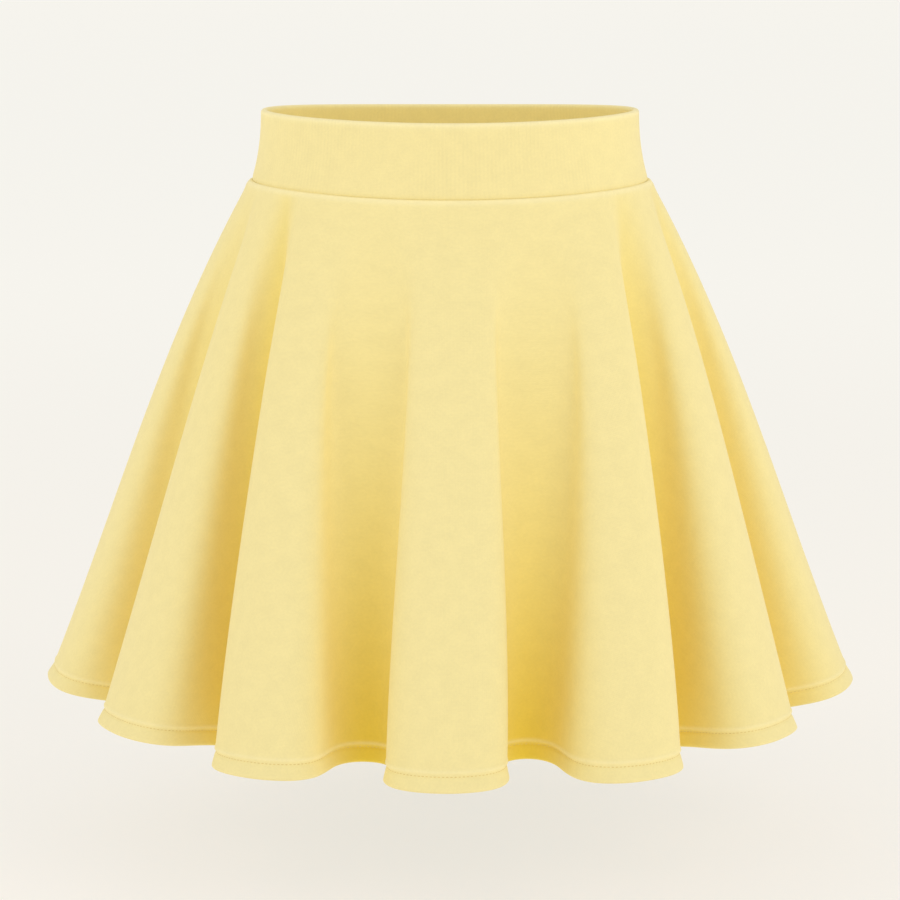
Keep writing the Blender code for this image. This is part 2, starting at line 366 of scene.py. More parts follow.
def thicken(bm):
    """Give a flat sheet its thickness: the sheet is the middle, the outer face is up."""
    bmesh.ops.recalc_face_normals(bm, faces=bm.faces)
    if bm.faces[0].normal.z < 0.0:
        bmesh.ops.reverse_faces(bm, faces=bm.faces)
    bmesh.ops.translate(bm, verts=bm.verts, vec=(0.0, 0.0, CLOTH / 2.0))
    below = bmesh.ops.extrude_face_region(bm, geom=bm.faces[:])["geom"]
    below = [part for part in below if isinstance(part, bmesh.types.BMVert)]
    bmesh.ops.translate(bm, verts=below, vec=(0.0, 0.0, -CLOTH))
    bmesh.ops.recalc_face_normals(bm, faces=bm.faces)


def cut_panel():
    """A sector of a ring, lying flat with its centre at the origin and its hem towards -Y."""
    bm = bmesh.new()
    geometry = line_of_points(bm, [(0.0, -SEAM_RADIUS - stop, 0.0) for stop in grain_line()])
    bmesh.ops.rotate(bm, verts=bm.verts, cent=(0.0, 0.0, 0.0),
                     matrix=Matrix.Rotation(-PANEL_ANGLE / 2.0, 3, "Z"))
    side = SIDE_COLUMNS[0] / HEM_RADIUS
    middle = PANEL_ANGLE - 2.0 * side
    for angle, steps in ((side, SIDE_COLUMNS[1]), (middle, MIDDLE_COLUMNS), (side, SIDE_COLUMNS[1])):
        geometry = bmesh.ops.spin(bm, geom=geometry, cent=(0.0, 0.0, 0.0), axis=(0.0, 0.0, 1.0),
                                  angle=angle, steps=steps)["geom_last"]
    bmesh.ops.remove_doubles(bm, verts=bm.verts, dist=MERGE)
    thicken(bm)
    return bm


print("each panel is a sector of %.1f degrees" % np.degrees(PANEL_ANGLE))

# %% [markdown]
# A needle does a few small things to cloth. The line of stitching squeezes the hem's two layers together,
# the raw edge inside lifts a low ridge above it, and the edge below kicks out a little and ripples. Under
# the waist seam the cloth swells and puckers, and it rolls in along the side seams. Most of these are a
# bump with a height, a place and a width, so they are listed as such. The same kind of bump says where
# edges that stand proud get a painted highlight: a paler yellow where they would catch the light.

# %% What sewing does to the cloth
STITCH_LINE = 8.7 * MM  # height of the hem's stitching above its edge
# Bumps as (height, place, width): down from the waist seam, or up from the hem's edge.
STITCH_GROOVE = (0.5, STITCH_LINE, 0.9 * MM)  # its height is a share of the hem's thickness
RIDGE = (0.5 * MM, 11.0 * MM, 1.3 * MM)  # over the raw edge of the turn-up
WAIST_PUFF = (0.5 * MM, 3.2 * MM, 2.6 * MM)
PUCKER = (0.12 * MM, 3.0 * MM, 4.0 * MM)
HIGHLIGHT_WAIST = (0.8, 1.2 * MM, 2.2 * MM)  # painted highlights: the height of these two is a share of the paler highlight colour
HIGHLIGHT_RIDGE = (0.45, *RIDGE[1:])
HEM_FLARE = 1.2 * MM  # how far the edge kicks out
ROPING = 0.3 * MM  # height of the long ripples of the hem's edge
ROPING_WAVE = 34.0 * MM
PUCKER_WAVE = 30.0 * MM
SIDE_ROLL = 0.7 * MM  # the cloth rolls in by this much at a side seam
SIDE_ROLL_WIDTH = 2.5 * MM
GAP = 0.3 * MM  # between two pieces that are sewn together
print("the ridge is %.2f mm high over the stitching" % (relief(STITCH_LINE, RIDGE) / MM))

# %% [markdown]
# Hanging. A point of the flat panel has an angle round the centre, which says how far along the hem it
# lies, and a distance down the grain. The turn at either end bends it first. Then the marks of the
# needle push it out or in, and the skirt's face says where it goes and which way is out.
#
# On its way every point is given two values for the colour, and both paint light into it. The first is 1
# where no shade is painted and falls to 0 in the depth of a fold, where a deeper yellow is painted in as
# shade. The second is high on edges that stand proud, where a paler yellow is painted in as a highlight.

# %% Hang a panel
INSIDE_UNSHADED = 0.75  # painted shade: the inside has this share of the outside's pale colour, and the rest is the deep yellow
OUTSIDE_ENDS = (0.4 * MM, 1.0 * MM)  # the outside ends from this far before the hem's turned edge, over this length, and past it the inside's painted shade takes over
SMALL_STEPS = (0.5 * MM, 0.002)  # along the hem and down the skirt, to find which way a place faces


def hang_skirt(flat, start, end):
    """Carry points of a flat panel to the hanging skirt, between two lengths along its hem."""
    share = np.arctan2(flat[:, 0], -flat[:, 1]) / PANEL_ANGLE + 0.5
    length = start + (end - start) * share
    grain = np.hypot(flat[:, 0], flat[:, 1]) - SEAM_RADIUS

    extra = slack(TURN_RADIUS)
    from_waist, out_waist = fold_over(-grain - extra, flat[:, 2], TURN_RADIUS)
    from_hem, out_hem = fold_over(grain - SKIRT_LENGTH - extra, flat[:, 2], TURN_RADIUS)
    lower = grain > SKIRT_LENGTH / 2.0
    out = np.where(lower, out_hem, out_waist) - CLOTH / 2.0
    from_hem = np.where(lower, from_hem, SKIRT_LENGTH - from_waist)
    from_waist = SKIRT_LENGTH - from_hem

    out += (-TURN_RADIUS - CLOTH / 2.0 - out) * relief(from_hem, STITCH_GROOVE)
    out += relief(from_hem, RIDGE)
    edge = smooth((STITCH_LINE - from_hem) / STITCH_LINE)
    out += edge * (HEM_FLARE + ROPING * ripple(length, ROPING_WAVE))
    out += relief(from_waist, WAIST_PUFF)
    out += relief(from_waist, PUCKER) * ripple(length, PUCKER_WAVE)

    from_side = np.minimum(share, 1.0 - share) * (end - start)
    rolled = 1.0 - smooth(from_side / SIDE_ROLL_WIDTH)
    out -= SIDE_ROLL * rolled
    length = length + np.where(share < 0.5, rolled, -rolled) * GAP / 2.0

    down = 1.0 - from_hem / SKIRT_LENGTH
    normal = outward(skirt_face, length, down, *SMALL_STEPS)
    # Painted shade: the deep yellow comes in deep in the folds, on the inside, and just under the hem's
    # turned edge.
    past_edge = smooth((grain - SKIRT_LENGTH + OUTSIDE_ENDS[0]) / OUTSIDE_ENDS[1])
    outside = (flat[:, 2] > 0.0) * (1.0 - past_edge)
    unshaded = outside * (1.0 - valley_depth(length, down)) + INSIDE_UNSHADED * (1.0 - outside)
    # Painted highlight: a paler yellow on the puff under the waist seam and on the hem's ridge.
    highlight = outside * (relief(from_waist, HIGHLIGHT_WAIST) + relief(from_hem, HIGHLIGHT_RIDGE))
    return skirt_face(length, down) + normal * out[:, None], unshaded, highlight


def hang_front(flat):
    return hang_skirt(flat, 0.0, RIGHT_SEAM)


def hang_back(flat):
    return hang_skirt(flat, RIGHT_SEAM, HEM_LENGTH)


middle_of_hem = hang_front(np.array([[0.0, -HEM_RADIUS, 0.0]]))[0][0]
print("the middle of the front's hem hangs at", middle_of_hem.round(4))

# %% [markdown]
# The cloth now becomes an object. All its points are carried over at once, as one array, which takes
# far less time than moving them one by one. The UV map keeps each point's place on the flat cloth, so
# the knit's pattern lies on the cloth as it did when it was cut, and the two colour values become
# attributes that a material can read.

# %% Make the front and the back
SHARP = np.radians(60.0)  # edges that turn more than this are shaded sharp


def hang_piece(bm, name, hang):
    """Turn a flat piece into a hanging object."""
    mesh = bpy.data.meshes.new(name)
    bm.to_mesh(mesh)
    bm.free()
    flat = np.empty(len(mesh.vertices) * 3)
    mesh.vertices.foreach_get("co", flat)
    flat = flat.reshape(-1, 3)
    corners = np.empty(len(mesh.loops), dtype=np.int32)
    mesh.loops.foreach_get("vertex_index", corners)
    mesh.uv_layers.new(name="flat cloth").data.foreach_set("uv", flat[corners, :2].ravel())
    places, unshaded, highlight = hang(flat)
    mesh.vertices.foreach_set("co", places.ravel())
    mesh.attributes.new("unshaded", "FLOAT", "POINT").data.foreach_set("value", unshaded)
    mesh.attributes.new("highlight", "FLOAT", "POINT").data.foreach_set("value", highlight)
    mesh.shade_smooth()
    mesh.set_sharp_from_angle(angle=SHARP)
    mesh.update()
    piece = bpy.data.objects.new(name, mesh)
    bpy.context.scene.collection.objects.link(piece)
    return piece


skirt_front = hang_piece(cut_panel(), "skirt_front_cloth", hang_front)
skirt_back = hang_piece(cut_panel(), "skirt_back_cloth", hang_back)
print("front panel hangs in", [round(size, 3) for size in skirt_front.dimensions])

# %% [markdown]
# The waistband is two straight strips. Each is cut twice as tall as the band, plus an allowance at
# both raw edges, and folded along its middle over the top edge. The fold is what makes a soft round
# rim. A flat strip is a line of points pushed sideways in steps, so the same spin is used with no
# turn.

# %% Cut the waistband
BAND_HEIGHT = 47.0 * MM  # on the flat cloth, from the seam to the rim
# Points on the flat strip: rows from one raw edge to the other, in mm from its middle line, and
# columns, close together beside the side seams.
RIM_ROWS = ((-48.4, 1.4), (-45.6, 0.25), (-42.0, 0.9), (-6.0, 3.6), (-3.0, 0.75), (3.0, 0.35),
            (6.0, 0.75), (42.0, 3.6), (45.6, 0.9), (48.4, 0.25), (54.0, 1.4))
BAND_SIDE_COLUMNS = (3.0 * MM, 4)
BAND_MIDDLE_COLUMNS = 110
BAND_STEPS = 500  # in which the way round the band is measured


def band_face(angle, down):
    """Points on the band's outer face, from angles and shares of the way down from the rim."""
    spread = np.clip(down, 0.0, 1.0) ** BAND_CURVE
    half_width = RIM_HALF_WIDTH + (SEAM_HALF_WIDTH - SEAM_STEP - RIM_HALF_WIDTH) * spread
    half_depth = RIM_HALF_DEPTH + (SEAM_HALF_DEPTH - SEAM_STEP - RIM_HALF_DEPTH) * spread
    top = RIM_HEIGHT - RIM_DIP * np.cos(angle) ** 2
    bottom = SEAM_HEIGHT - SEAM_DIP * np.cos(angle) ** 2
    return np.stack([half_width * np.sin(angle), -half_depth * np.cos(angle),
                     top + (bottom - top) * down], axis=-1)


def band_angles():
    """Lengths round the band from the left side seam, halfway down it, and the angles there."""
    angle = np.linspace(-np.pi / 2.0, 3.0 * np.pi / 2.0, BAND_STEPS + 1)
    walk = np.linalg.norm(np.diff(band_face(angle, 0.5), axis=0), axis=1)
    return np.concatenate([[0.0], np.cumsum(walk)]), angle


BAND_WALK, BAND_ANGLE = band_angles()
STRIP_LENGTH = BAND_WALK[-1] / 2.0


def cut_strip():
    """A strip lying flat, its middle line on the X axis and its outer half towards -Y."""
    bm = bmesh.new()
    stops = row_stops(-BAND_HEIGHT / MM - SEAM_ALLOWANCE / MM, RIM_ROWS)
    geometry = line_of_points(bm, [(0.0, stop * MM, 0.0) for stop in stops])
    side, steps_beside = BAND_SIDE_COLUMNS
    middle = STRIP_LENGTH - 2.0 * side
    for width, steps in ((side, steps_beside), (middle, BAND_MIDDLE_COLUMNS), (side, steps_beside)):
        geometry = bmesh.ops.spin(bm, geom=geometry, cent=(0.0, 0.0, 0.0), axis=(0.0, 0.0, 1.0),
                                  dvec=(width / steps, 0.0, 0.0), angle=0.0, steps=steps)["geom_last"]
    bmesh.ops.remove_doubles(bm, verts=bm.verts, dist=MERGE)
    thicken(bm)
    return bm


print("each strip is cut %.0f mm long" % (STRIP_LENGTH / MM))

# %% [markdown]
# The strip is turned over the rim by the same fold_over as the hem. Its two layers lie close together
# further down and stand apart a little at the rim, which makes the band look soft and full. Just above
# the waist seam it draws in, because the skirt's edge is sewn over it.

# %% Hang the waistband
RIM_TURN_RADIUS = 1.5 * MM  # the fold is soft and a little fatter than the band
LAYER_RADIUS = 0.85 * MM  # half the distance between the layers' middles, further down
LAYERS_CLOSE = 14.0 * MM  # how far down from the rim they are that close
BAND_TUCK = (0.35 * MM, 3.5 * MM)  # the band draws in by this much over this height above the seam
SEAM_TUCK = (1.8 * MM, 0.9 * MM)  # and by this much more in the seam itself
SEAM_TUCK_START = 0.25 * MM  # above the seam
BAND_PUCKER = (0.084 * MM, -4.0 * MM, 3.0 * MM)  # places are measured down from the seam
BAND_PUCKER_WAVE = 9.0 * MM
BAND_ROLL_WIDTH = 2.0 * MM
HIGHLIGHT_RIM = (1.0, 0.0, 2.4 * MM)  # painted highlight along the rim, with its place down from the rim
SHADE_FADE = 4.0 * MM  # behind the rim the outer face looks inwards, and painted shade comes in over this length
HIGHLIGHT_FADE = (0.8, 2.0 * MM)  # and the painted highlight fades by this share, over this length
SMALL_SHARE = 0.002  # a small angle, or share of the band's height


def hang_band(flat, start):
    """Fold a strip over the top edge and carry it to the band, from a length round the band on."""
    from_side = np.minimum(flat[:, 0], STRIP_LENGTH - flat[:, 0])
    rolled = 1.0 - smooth(from_side / BAND_ROLL_WIDTH)
    length = start + flat[:, 0] + np.where(flat[:, 0] < STRIP_LENGTH / 2.0, rolled, -rolled) * GAP / 2.0
    angle = np.interp(length, BAND_WALK, BAND_ANGLE)
    from_rim, out = fold_over(flat[:, 1], flat[:, 2], RIM_TURN_RADIUS)
    from_rim += slack(RIM_TURN_RADIUS) * smooth(from_rim / BAND_HEIGHT)
    closing = 2.0 * (RIM_TURN_RADIUS - LAYER_RADIUS) * smooth(from_rim / LAYERS_CLOSE)
    out += np.where(flat[:, 1] > 0.0, closing, 0.0) - CLOTH / 2.0 - SIDE_ROLL * rolled

    below_seam = from_rim - BAND_HEIGHT
    out -= BAND_TUCK[0] * smooth((below_seam + BAND_TUCK[1]) / BAND_TUCK[1])
    out -= SEAM_TUCK[0] * smooth((below_seam + SEAM_TUCK_START) / SEAM_TUCK[1])
    out += relief(below_seam, BAND_PUCKER) * ripple(length, BAND_PUCKER_WAVE)
    down = from_rim / BAND_HEIGHT
    normal = outward(band_face, angle, down, SMALL_SHARE, SMALL_SHARE)
    outside = (flat[:, 2] > 0.0) * 1.0
    # Painted shade: part of the deep yellow comes in on the inner layer behind the rim, and all of it on
    # the faces that lie against the other layer.
    unshaded = outside * (1.0 - (1.0 - INSIDE_UNSHADED) * smooth(flat[:, 1] / SHADE_FADE))
    # Painted highlight: a paler yellow along the rim, fading on the inner layer.
    highlight = outside * relief(from_rim, HIGHLIGHT_RIM) * (1.0 - HIGHLIGHT_FADE[0] * smooth(flat[:, 1] / HIGHLIGHT_FADE[1]))
    return band_face(angle, down) + normal * out[:, None], unshaded, highlight


def hang_band_front(flat):
    return hang_band(flat, 0.0)


def hang_band_back(flat):
    return hang_band(flat, STRIP_LENGTH)


band_front = hang_piece(cut_strip(), "waistband_front_cloth", hang_band_front)
band_back = hang_piece(cut_strip(), "waistband_back_cloth", hang_band_back)
print("front strip hangs in", [round(size, 3) for size in band_front.dimensions])

# %% [markdown]
# Sewing. The hem is held by a row of stitches that shows on both sides of the cloth, and every raw
# edge inside is overlocked: loops of thread lie across the edge so that it can't ladder. One stitch is a
# small ball, stretched to a stitch's size. spin copies it all the way round the flat panel, and the
# panel's own hanging function then lays each copy on the cloth, sunk in the groove. Real thread is
# 0.25 mm thick. Here it is twice that, so that it can be seen at all.

# %% Rows of stitches on flat cloth
STITCH_PITCH = 2.5 * MM
STITCH_SIZE = (1.8 * MM, 0.55 * MM, 0.5 * MM)  # along the row, across it, and standing up
LOOP_PITCH = 2.4 * MM
LOOP_SIZE = (0.5 * MM, 4.2 * MM, 0.45 * MM)
LOOP_SLANT = 18.0  # degrees
SIDE_LOOP_SLANT = 54.0
LOOP_INSET = 1.8 * MM  # from the raw edge to the middle of the loops that lie over it
SIDE_LOOPS = (9.0 * MM, 15.0 * MM)  # they start this far below the waist's row and end above the hem
STITCH_FINENESS = {"u_segments": 6, "v_segments": 4}
THREAD_HEIGHT = CLOTH / 2.0 + 0.05 * MM  # of a stitch's middle, above the middle of the cloth
RUN = 20  # stitches are copied one by one up to a run of this many, then run by run, which is quicker


def sew(bm, size, slant, place, runs, turn=0.0, push=(0.0, 0.0, 0.0)):
    """A row of stitches. From each to the next is a turn round the centre and a push."""
    before = [len(parts) for parts in (bm.verts, bm.edges, bm.faces)]
    points = bmesh.ops.create_uvsphere(bm, radius=0.5, **STITCH_FINENESS)["verts"]
    bmesh.ops.scale(bm, verts=points, vec=size)
    bmesh.ops.transform(bm, verts=points, matrix=place @ Matrix.Rotation(np.radians(slant), 4, "Z"))
    for step, copies in ((1, RUN), (RUN, runs)):
        made = [part for parts, count in zip((bm.verts, bm.edges, bm.faces), before)
                for part in list(parts)[count:]]
        bmesh.ops.spin(bm, geom=made, cent=(0.0, 0.0, 0.0), axis=(0.0, 0.0, 1.0),
                       angle=turn * step * (copies - 1), dvec=Vector(push) * step, steps=copies - 1,
                       use_duplicate=True)


def sew_round(bm, radius, pitch, size, slant=0.0):
    """A row all round a flat panel, at one distance from the circle's centre."""
    runs = round(PANEL_ANGLE * radius / pitch / RUN)
    turn = PANEL_ANGLE / (runs * RUN)
    place = Matrix.Rotation((turn - PANEL_ANGLE) / 2.0, 4, "Z")
    sew(bm, size, slant, place @ Matrix.Translation((0.0, -radius, THREAD_HEIGHT)), runs, turn=turn)


def sew_straight(bm, start, end, pitch, size, slant=0.0):
    """A straight row between two places."""
    way = Vector(end) - Vector(start)
    runs = round(way.length / pitch / RUN)
    push = way / (runs * RUN)
    sew(bm, size, slant, Matrix.Translation(Vector(start) + push / 2.0), runs, push=push)


def sew_panel():
    """All the thread of one flat panel: the hem's two rows, then the overlocked edges."""
    bm = bmesh.new()
    sew_round(bm, HEM_RADIUS - STITCH_LINE, STITCH_PITCH, STITCH_SIZE)
    sew_round(bm, HEM_RADIUS + STITCH_LINE, STITCH_PITCH, STITCH_SIZE)
    sew_round(bm, RAW_HEM - LOOP_INSET, LOOP_PITCH, LOOP_SIZE, LOOP_SLANT)
    waist_edge = RAW_WAIST + LOOP_INSET
    sew_round(bm, waist_edge, LOOP_PITCH, LOOP_SIZE, LOOP_SLANT)
    for side in (-1.0, 1.0):
        along = Vector((side * np.sin(PANEL_ANGLE / 2.0), -np.cos(PANEL_ANGLE / 2.0), 0.0))
        below = Vector((0.0, 0.0, -THREAD_HEIGHT))
        top, bottom = waist_edge + SIDE_LOOPS[0], HEM_RADIUS - SIDE_LOOPS[1]
        sew_straight(bm, along * top + below, along * bottom + below, LOOP_PITCH, LOOP_SIZE,
                     side * SIDE_LOOP_SLANT)
    return bm


def sew_strip():
    """The overlocked lower edge inside the band."""
    bm = bmesh.new()
    edge = BAND_HEIGHT + SEAM_ALLOWANCE - LOOP_INSET
    sew_straight(bm, (0.0, edge, THREAD_HEIGHT), (STRIP_LENGTH, edge, THREAD_HEIGHT), LOOP_PITCH,
                 LOOP_SIZE, LOOP_SLANT)
    return bm


skirt_front_thread = hang_piece(sew_panel(), "skirt_front_thread", hang_front)
skirt_back_thread = hang_piece(sew_panel(), "skirt_back_thread", hang_back)
band_front_thread = hang_piece(sew_strip(), "waistband_front_thread", hang_band_front)
band_back_thread = hang_piece(sew_strip(), "waistband_back_thread", hang_band_back)
print("stitches round the hem, about:", round(HEM_LENGTH / STITCH_PITCH))

# %% [markdown]
# The cloth is ponte, a firm double knit of viscose and polyester. Its surface is two sets of rows of
# loops, down the cloth and across it, with a fuzz of fibre ends over them. They could be modelled, but
# hundreds of thousands of loops would show as no more than a fine grain, so waves and noises draw them.
# Those lie on the flat cloth's map, so they follow the grain, and each has a real size. The rows are
# finer than a view of the whole skirt can show, so they are drawn coarser than the real 0.8 mm, and low.

# %% Sizes of the knit
WAVE_PERIOD = 0.31416  # metres over which a wave texture of scale 1 repeats
NOISE_MIDDLE = {"From Min": 0.35, "From Max": 0.65}  # where most values of a noise lie
WALE = 1.3 * MM  # spacing of the rows of loops down the cloth
COURSE = 0.8 * WALE  # and across it
FUZZ = 1.6 * MM  # size of the tufts of fibre ends
LOOP_HEIGHT = 0.12 * MM
RIB = 2.5 * MM  # spacing of the band's fine upright ribs
RIB_PATCHES = 60.0 * MM  # over which the ribs fade in and out
RIB_BREAKS = 3.0 * MM  # width of the short stretches in which a rib shows
MARKS = 8.0 * MM  # size of the soft marks of handling
MARK_HEIGHT = 0.6 * MM
MOTTLE = 9.0 * MM  # size of the patches in which the dye came out a little lighter or darker
SHADES = {"To Min": 0.985, "To Max": 1.015}  # how much lighter or darker
print("rows of loops in 10 mm: %.1f down the cloth, %.1f across" % (10 * MM / WALE, 10 * MM / COURSE))

# %% [markdown]
# Ponte is matte, with a short fuzz of pale fibre ends that lightens it where it turns away from the eye,
# which the shader calls sheen. Down in a fold the light reaches the eye only after it has met the cloth
# several times, and each time the dye takes some more of the blue out of it. So the folds are not only
# darker but a deeper yellow. Bounced light gives part of this by itself. The rest is painted shade: a
# second, deeper colour, blended in by the first of the hung cloth's two values. Edges that stand proud
# get a painted highlight, a third, paler colour, blended in by the second value.

# %% Knit material


def make_knit(name, pale, shade_colour, highlight_colour, rib):
    """Ponte double knit: its own pale colour, a deeper yellow painted in as shade and a paler one painted
    in as a highlight. rib is how strongly its ribs show.
    """
    material = bpy.data.materials.new(name)
    material.use_nodes = True
    tree = material.node_tree
    place = add_node(tree, "UVMap", "UV", uv_map="flat cloth")

    wales = add_node(tree, "TexWave", "Fac", {"Vector": place, "Scale": WAVE_PERIOD / WALE},
                     bands_direction="X")
    courses = add_node(tree, "TexWave", "Fac", {"Vector": place, "Scale": WAVE_PERIOD / COURSE},
                       bands_direction="Y")
    fuzz = add_node(tree, "TexNoise", "Fac", {"Vector": place, "Scale": 1.0 / FUZZ, "Detail": 3.0})
    loops = add_node(tree, "Math", "Value", {0: wales, 1: courses}, operation="MULTIPLY")
    loops = add_node(tree, "Math", "Value", {0: loops, 1: fuzz}, operation="ADD")

    # The ribs fade in and out along the band, as they do where a knit is stretched unevenly, and each
    # shows in short upright stretches only.
    ribs = add_node(tree, "TexWave", "Fac", {"Vector": place, "Scale": WAVE_PERIOD / RIB},
                    bands_direction="X")
    patches = add_node(tree, "TexNoise", "Fac", {"Vector": place, "Scale": 1.0 / RIB_PATCHES,
                                                 "Detail": 1.0})
    patches = add_node(tree, "MapRange", "Result", {"Value": patches, **NOISE_MIDDLE, "To Max": rib})
    ribs = add_node(tree, "Math", "Value", {0: ribs, 1: patches}, operation="MULTIPLY")
    upright = add_node(tree, "VectorMath", "Vector", {0: place, 1: (1.0, 0.12, 1.0)},
                       operation="MULTIPLY")
    breaks = add_node(tree, "TexNoise", "Fac", {"Vector": upright, "Scale": 1.0 / RIB_BREAKS,
                                                "Detail": 1.0})
    ribs = add_node(tree, "Math", "Value", {0: ribs, 1: breaks}, operation="MULTIPLY")

    # Handling leaves the cloth a little uneven, in soft marks that run mostly down it.
    longish = add_node(tree, "VectorMath", "Vector", {0: place, 1: (1.0, 0.45, 1.0)},
                       operation="MULTIPLY")
    marks = add_node(tree, "TexNoise", "Fac", {"Vector": longish, "Scale": 1.0 / MARKS, "Detail": 3.0})
    uneven = add_node(tree, "Bump", "Normal", {"Height": marks, "Strength": 0.35,
                                               "Distance": MARK_HEIGHT})
    height = add_node(tree, "Math", "Value", {0: loops, 1: ribs}, operation="ADD")
    normal = add_node(tree, "Bump", "Normal", {"Height": height, "Strength": 0.25,
                                               "Distance": LOOP_HEIGHT, "Normal": uneven})

    # Three things change the tone: patches of dye, the fuzz, and the ribs, which are a little darker.
    mottle = add_node(tree, "TexNoise", "Fac", {"Vector": place, "Scale": 1.0 / MOTTLE, "Detail": 4.0})
    mottle = add_node(tree, "MapRange", "Result", {"Value": mottle, **NOISE_MIDDLE, **SHADES})
    speckle = add_node(tree, "MapRange", "Result", {"Value": fuzz, **NOISE_MIDDLE, **SHADES})
    shade = add_node(tree, "Math", "Value", {0: ribs, 1: -0.05, 2: 1.0}, operation="MULTIPLY_ADD")
    tone = add_node(tree, "Math", "Value", {0: mottle, 1: speckle}, operation="MULTIPLY")
    tone = add_node(tree, "Math", "Value", {0: tone, 1: shade}, operation="MULTIPLY")

    # A mix of colours takes its share in input 0 and its colours in 6 and 7, and gives output 2.
    # Painted shade: the first value mixes the deep yellow in where shade is painted.
    unshaded = add_node(tree, "Attribute", "Fac", attribute_name="unshaded")
    # Painted highlight: the second value mixes a paler yellow in on edges that stand proud.
    highlight = add_node(tree, "Attribute", "Fac", attribute_name="highlight")
    base_colour = add_node(tree, "Mix", 2, {0: unshaded, 6: linear(shade_colour), 7: linear(pale)}, data_type="RGBA")
    base_colour = add_node(tree, "Mix", 2, {0: highlight, 6: base_colour, 7: linear(highlight_colour)}, data_type="RGBA")
    base_colour = add_node(tree, "HueSaturation", "Color", {"Value": tone, "Color": base_colour})
    set_inputs(tree, tree.nodes["Principled BSDF"], {
        "Base Color": base_colour, "Roughness": 0.85, "Specular IOR Level": 0.25, "Sheen Weight": 0.25,
        "Sheen Roughness": 0.45, "Sheen Tint": linear("FFF6DC"), "Normal": normal})
    return material


YELLOWS = ("F8E9A8", "F2D54C", "FFF2BA")  # pale, then a deep yellow painted in as shade, and a paler one painted in as a highlight
SKIRT_KNIT = make_knit("ponte double knit, pale yellow", *YELLOWS, rib=0.0)
BAND_KNIT = make_knit("ponte double knit, pale yellow, ribbed", *YELLOWS, rib=0.8)
for piece, knit in ((skirt_front, SKIRT_KNIT), (skirt_back, SKIRT_KNIT), (band_front, BAND_KNIT),
                    (band_back, BAND_KNIT)):
    piece.data.materials.append(knit)
print("knits:", SKIRT_KNIT.name, "|", BAND_KNIT.name)

# %% [markdown]
# The thread is spun polyester, a little darker than the cloth and less matte. Its strands are twisted
# together, and the twist runs slantwise over every stitch.

# %% Thread material
TWIST = 0.6 * MM  # spacing of the strands
TWIST_HEIGHT = 0.08 * MM
THREAD_PATCHES = 5.0 * MM  # over which the thread's shade changes


def make_thread(name, colour):
    """Spun polyester sewing thread."""
    material = bpy.data.materials.new(name)
    material.use_nodes = True
    tree = material.node_tree
    place = add_node(tree, "UVMap", "UV", uv_map="flat cloth")
    twist = add_node(tree, "TexWave", "Fac", {"Vector": place, "Scale": WAVE_PERIOD / TWIST},
                     bands_direction="DIAGONAL")
    normal = add_node(tree, "Bump", "Normal", {"Height": twist, "Strength": 0.4,
                                               "Distance": TWIST_HEIGHT})
    tone = add_node(tree, "TexNoise", "Fac", {"Vector": place, "Scale": 1.0 / THREAD_PATCHES,
                                              "Detail": 2.0})
    tone = add_node(tree, "MapRange", "Result", {"Value": tone, **NOISE_MIDDLE, "To Min": 0.93,
                                                 "To Max": 1.05})
    base_colour = add_node(tree, "HueSaturation", "Color", {"Value": tone, "Color": linear(colour)})
    set_inputs(tree, tree.nodes["Principled BSDF"], {
        "Base Color": base_colour, "Roughness": 0.6, "Sheen Weight": 0.2, "Normal": normal})
    return material


THREAD = make_thread("spun polyester thread, yellow", "E8CF85")
for piece in (skirt_front_thread, skirt_back_thread, band_front_thread, band_back_thread):
    piece.data.materials.append(THREAD)
print("thread:", THREAD.name)

# %% [markdown]
# Each piece of cloth takes the place of its solid, which is hidden. The threads ride along with their
# cloth.

# %% Put the cloth on its solids
for piece, thread, node, finish in (
        (skirt_front, skirt_front_thread, "skirt_front", "skirt_knit"),
        (skirt_back, skirt_back_thread, "skirt_back", "skirt_knit"),
        (band_front, band_front_thread, "waistband_front", "band_knit"),
        (band_back, band_back_thread, "waistband_back", "band_knit")):
    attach(piece, "root")
    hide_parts(node)
    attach(thread, "root")

# %% [markdown]
# The backdrop is a wide sheet of matte paper under the skirt. Far away its edge turns up, so that the
# horizon is only a faint pale step, seen from low down. The paper's glow is painted light, which keeps
# the shadow under the skirt soft and pale, and it is painted a little weaker near the skirt as painted
# shade.

# %% Backdrop
FLOOR_HEIGHT = -0.456
FLOOR_RADIUS = 30.0
FLOOR_SIDES = 96
FLOOR_EDGE_HEIGHT = 9.0
PAPER = "BBA089"
# painted shade: the paper's painted glow is weaker under the skirt than far away
GLOW_UNDER_SKIRT = "BFCDD1"
GLOW_FAR_AWAY = "C8D5D8"
GLOW_CHANGES = (0.3, 3.6)  # between these distances from the skirt, in metres


def make_floor():
    """A round sheet of paper with its edge turned up, all of it facing inwards."""
    bm = bmesh.new()
    bmesh.ops.create_circle(bm, cap_ends=True, segments=FLOOR_SIDES, radius=FLOOR_RADIUS)
    bmesh.ops.translate(bm, verts=bm.verts, vec=(0.0, 0.0, FLOOR_HEIGHT))
    rim = bmesh.ops.extrude_edge_only(bm, edges=bm.edges[:])["geom"]
    rim = [part for part in rim if isinstance(part, bmesh.types.BMVert)]
    bmesh.ops.translate(bm, verts=rim, vec=(0.0, 0.0, FLOOR_EDGE_HEIGHT))
    bmesh.ops.recalc_face_normals(bm, faces=bm.faces)
    bmesh.ops.reverse_faces(bm, faces=bm.faces)
    mesh = bpy.data.meshes.new("floor")
    bm.to_mesh(mesh)
    bm.free()
    floor = bpy.data.objects.new("floor", mesh)
    bpy.context.scene.collection.objects.link(floor)
    return floor


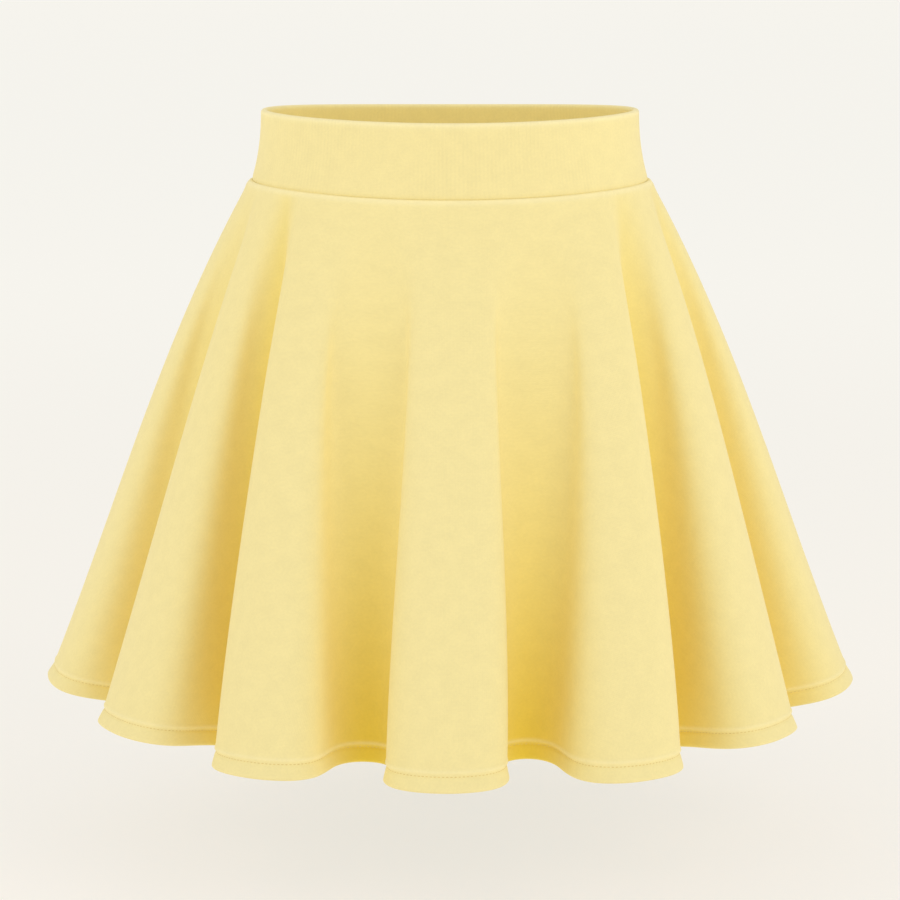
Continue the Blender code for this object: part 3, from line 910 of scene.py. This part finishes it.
def make_paper(name):
    """Matte paper with a painted glow, a little weaker under the skirt as painted shade."""
    material = bpy.data.materials.new(name)
    material.use_nodes = True
    tree = material.node_tree
    place = add_node(tree, "TexCoord", "Object")
    away = add_node(tree, "VectorMath", "Value", {0: place}, operation="LENGTH")
    far = add_node(tree, "MapRange", "Result", {"Value": away, "From Min": GLOW_CHANGES[0],
                                                "From Max": GLOW_CHANGES[1]},
                   interpolation_type="SMOOTHERSTEP")
    glow = add_node(tree, "Mix", 2, {0: far, 6: linear(GLOW_UNDER_SKIRT), 7: linear(GLOW_FAR_AWAY)},
                    data_type="RGBA")
    set_inputs(tree, tree.nodes["Principled BSDF"], {
        "Base Color": linear(PAPER), "Roughness": 1.0, "Specular IOR Level": 0.0,
        "Emission Color": glow, "Emission Strength": 1.0})
    return material


floor = make_floor()
floor.data.materials.append(make_paper("matte paper backdrop"))
print("the paper lies %.0f mm below the hem" % ((HEM_HEIGHT - FLOOR_HEIGHT) / MM))

# %% [markdown]
# The light is that of a catalogue: an even pale surround, a broad lamp in front at the right, another
# in front at the left, nearly as strong, and a smaller, weak one at the far right that touches the
# side. Broad lamps keep the edges of all shadows soft, so the folds stay gentle.

# %% Lamps and surround
# Name, place, width and power in watts.
LAMPS = (
    ("key", (1.61, -1.45, 1.07), 1.6, 11.5),
    ("right", (2.38, 0.42, 0.46), 1.0, 2.5),
    ("left", (-2.10, -0.60, 1.03), 1.6, 10.2),
)
LIT_PLACE = (0.0, 0.0, -0.18)  # all lamps point at the middle of the skirt
SURROUND_COLOUR = "FFFDF8"
SURROUND_STRENGTH = 0.645


def make_lamp(name, place, width, power):
    lamp = bpy.data.lights.new(name, "AREA")
    lamp.size = width
    lamp.energy = power
    holder = bpy.data.objects.new(name, lamp)
    holder.location = place
    holder.rotation_euler = (Vector(LIT_PLACE) - Vector(place)).to_track_quat("-Z", "Y").to_euler()
    bpy.context.scene.collection.objects.link(holder)


for lamp_row in LAMPS:
    make_lamp(*lamp_row)
surround = bpy.data.worlds.new("surround")
surround.use_nodes = True
set_inputs(surround.node_tree, surround.node_tree.nodes["Background"],
           {"Color": linear(SURROUND_COLOUR), "Strength": SURROUND_STRENGTH})
bpy.context.scene.world = surround
print("lamps:", [name for name, *_ in LAMPS])

# %% [markdown]
# The camera stands two metres away with a long lens, a little above the waist, so the skirt looks as
# flat and upright as in a catalogue and one sees just over the rim into the band.

# %% Camera
LENS = 125.2  # mm, on a sensor 36 mm wide
CAMERA_TILT = np.radians(9.95)  # downwards
CAMERA_DISTANCE = 2.0345
LOOKED_AT_HEIGHT = -0.1985


def make_camera():
    camera = bpy.data.cameras.new("camera")
    camera.sensor_width = 36.0
    camera.lens = LENS
    holder = bpy.data.objects.new("camera", camera)
    holder.location = (0.0, -CAMERA_DISTANCE * np.cos(CAMERA_TILT),
                       LOOKED_AT_HEIGHT + CAMERA_DISTANCE * np.sin(CAMERA_TILT))
    holder.rotation_euler = (np.pi / 2.0 - CAMERA_TILT, 0.0, 0.0)
    bpy.context.scene.collection.objects.link(holder)
    bpy.context.scene.camera = holder
    return holder


camera_place = make_camera().location
bpy.context.scene.view_settings.view_transform = "Standard"
print("camera at", [round(value, 3) for value in camera_place])
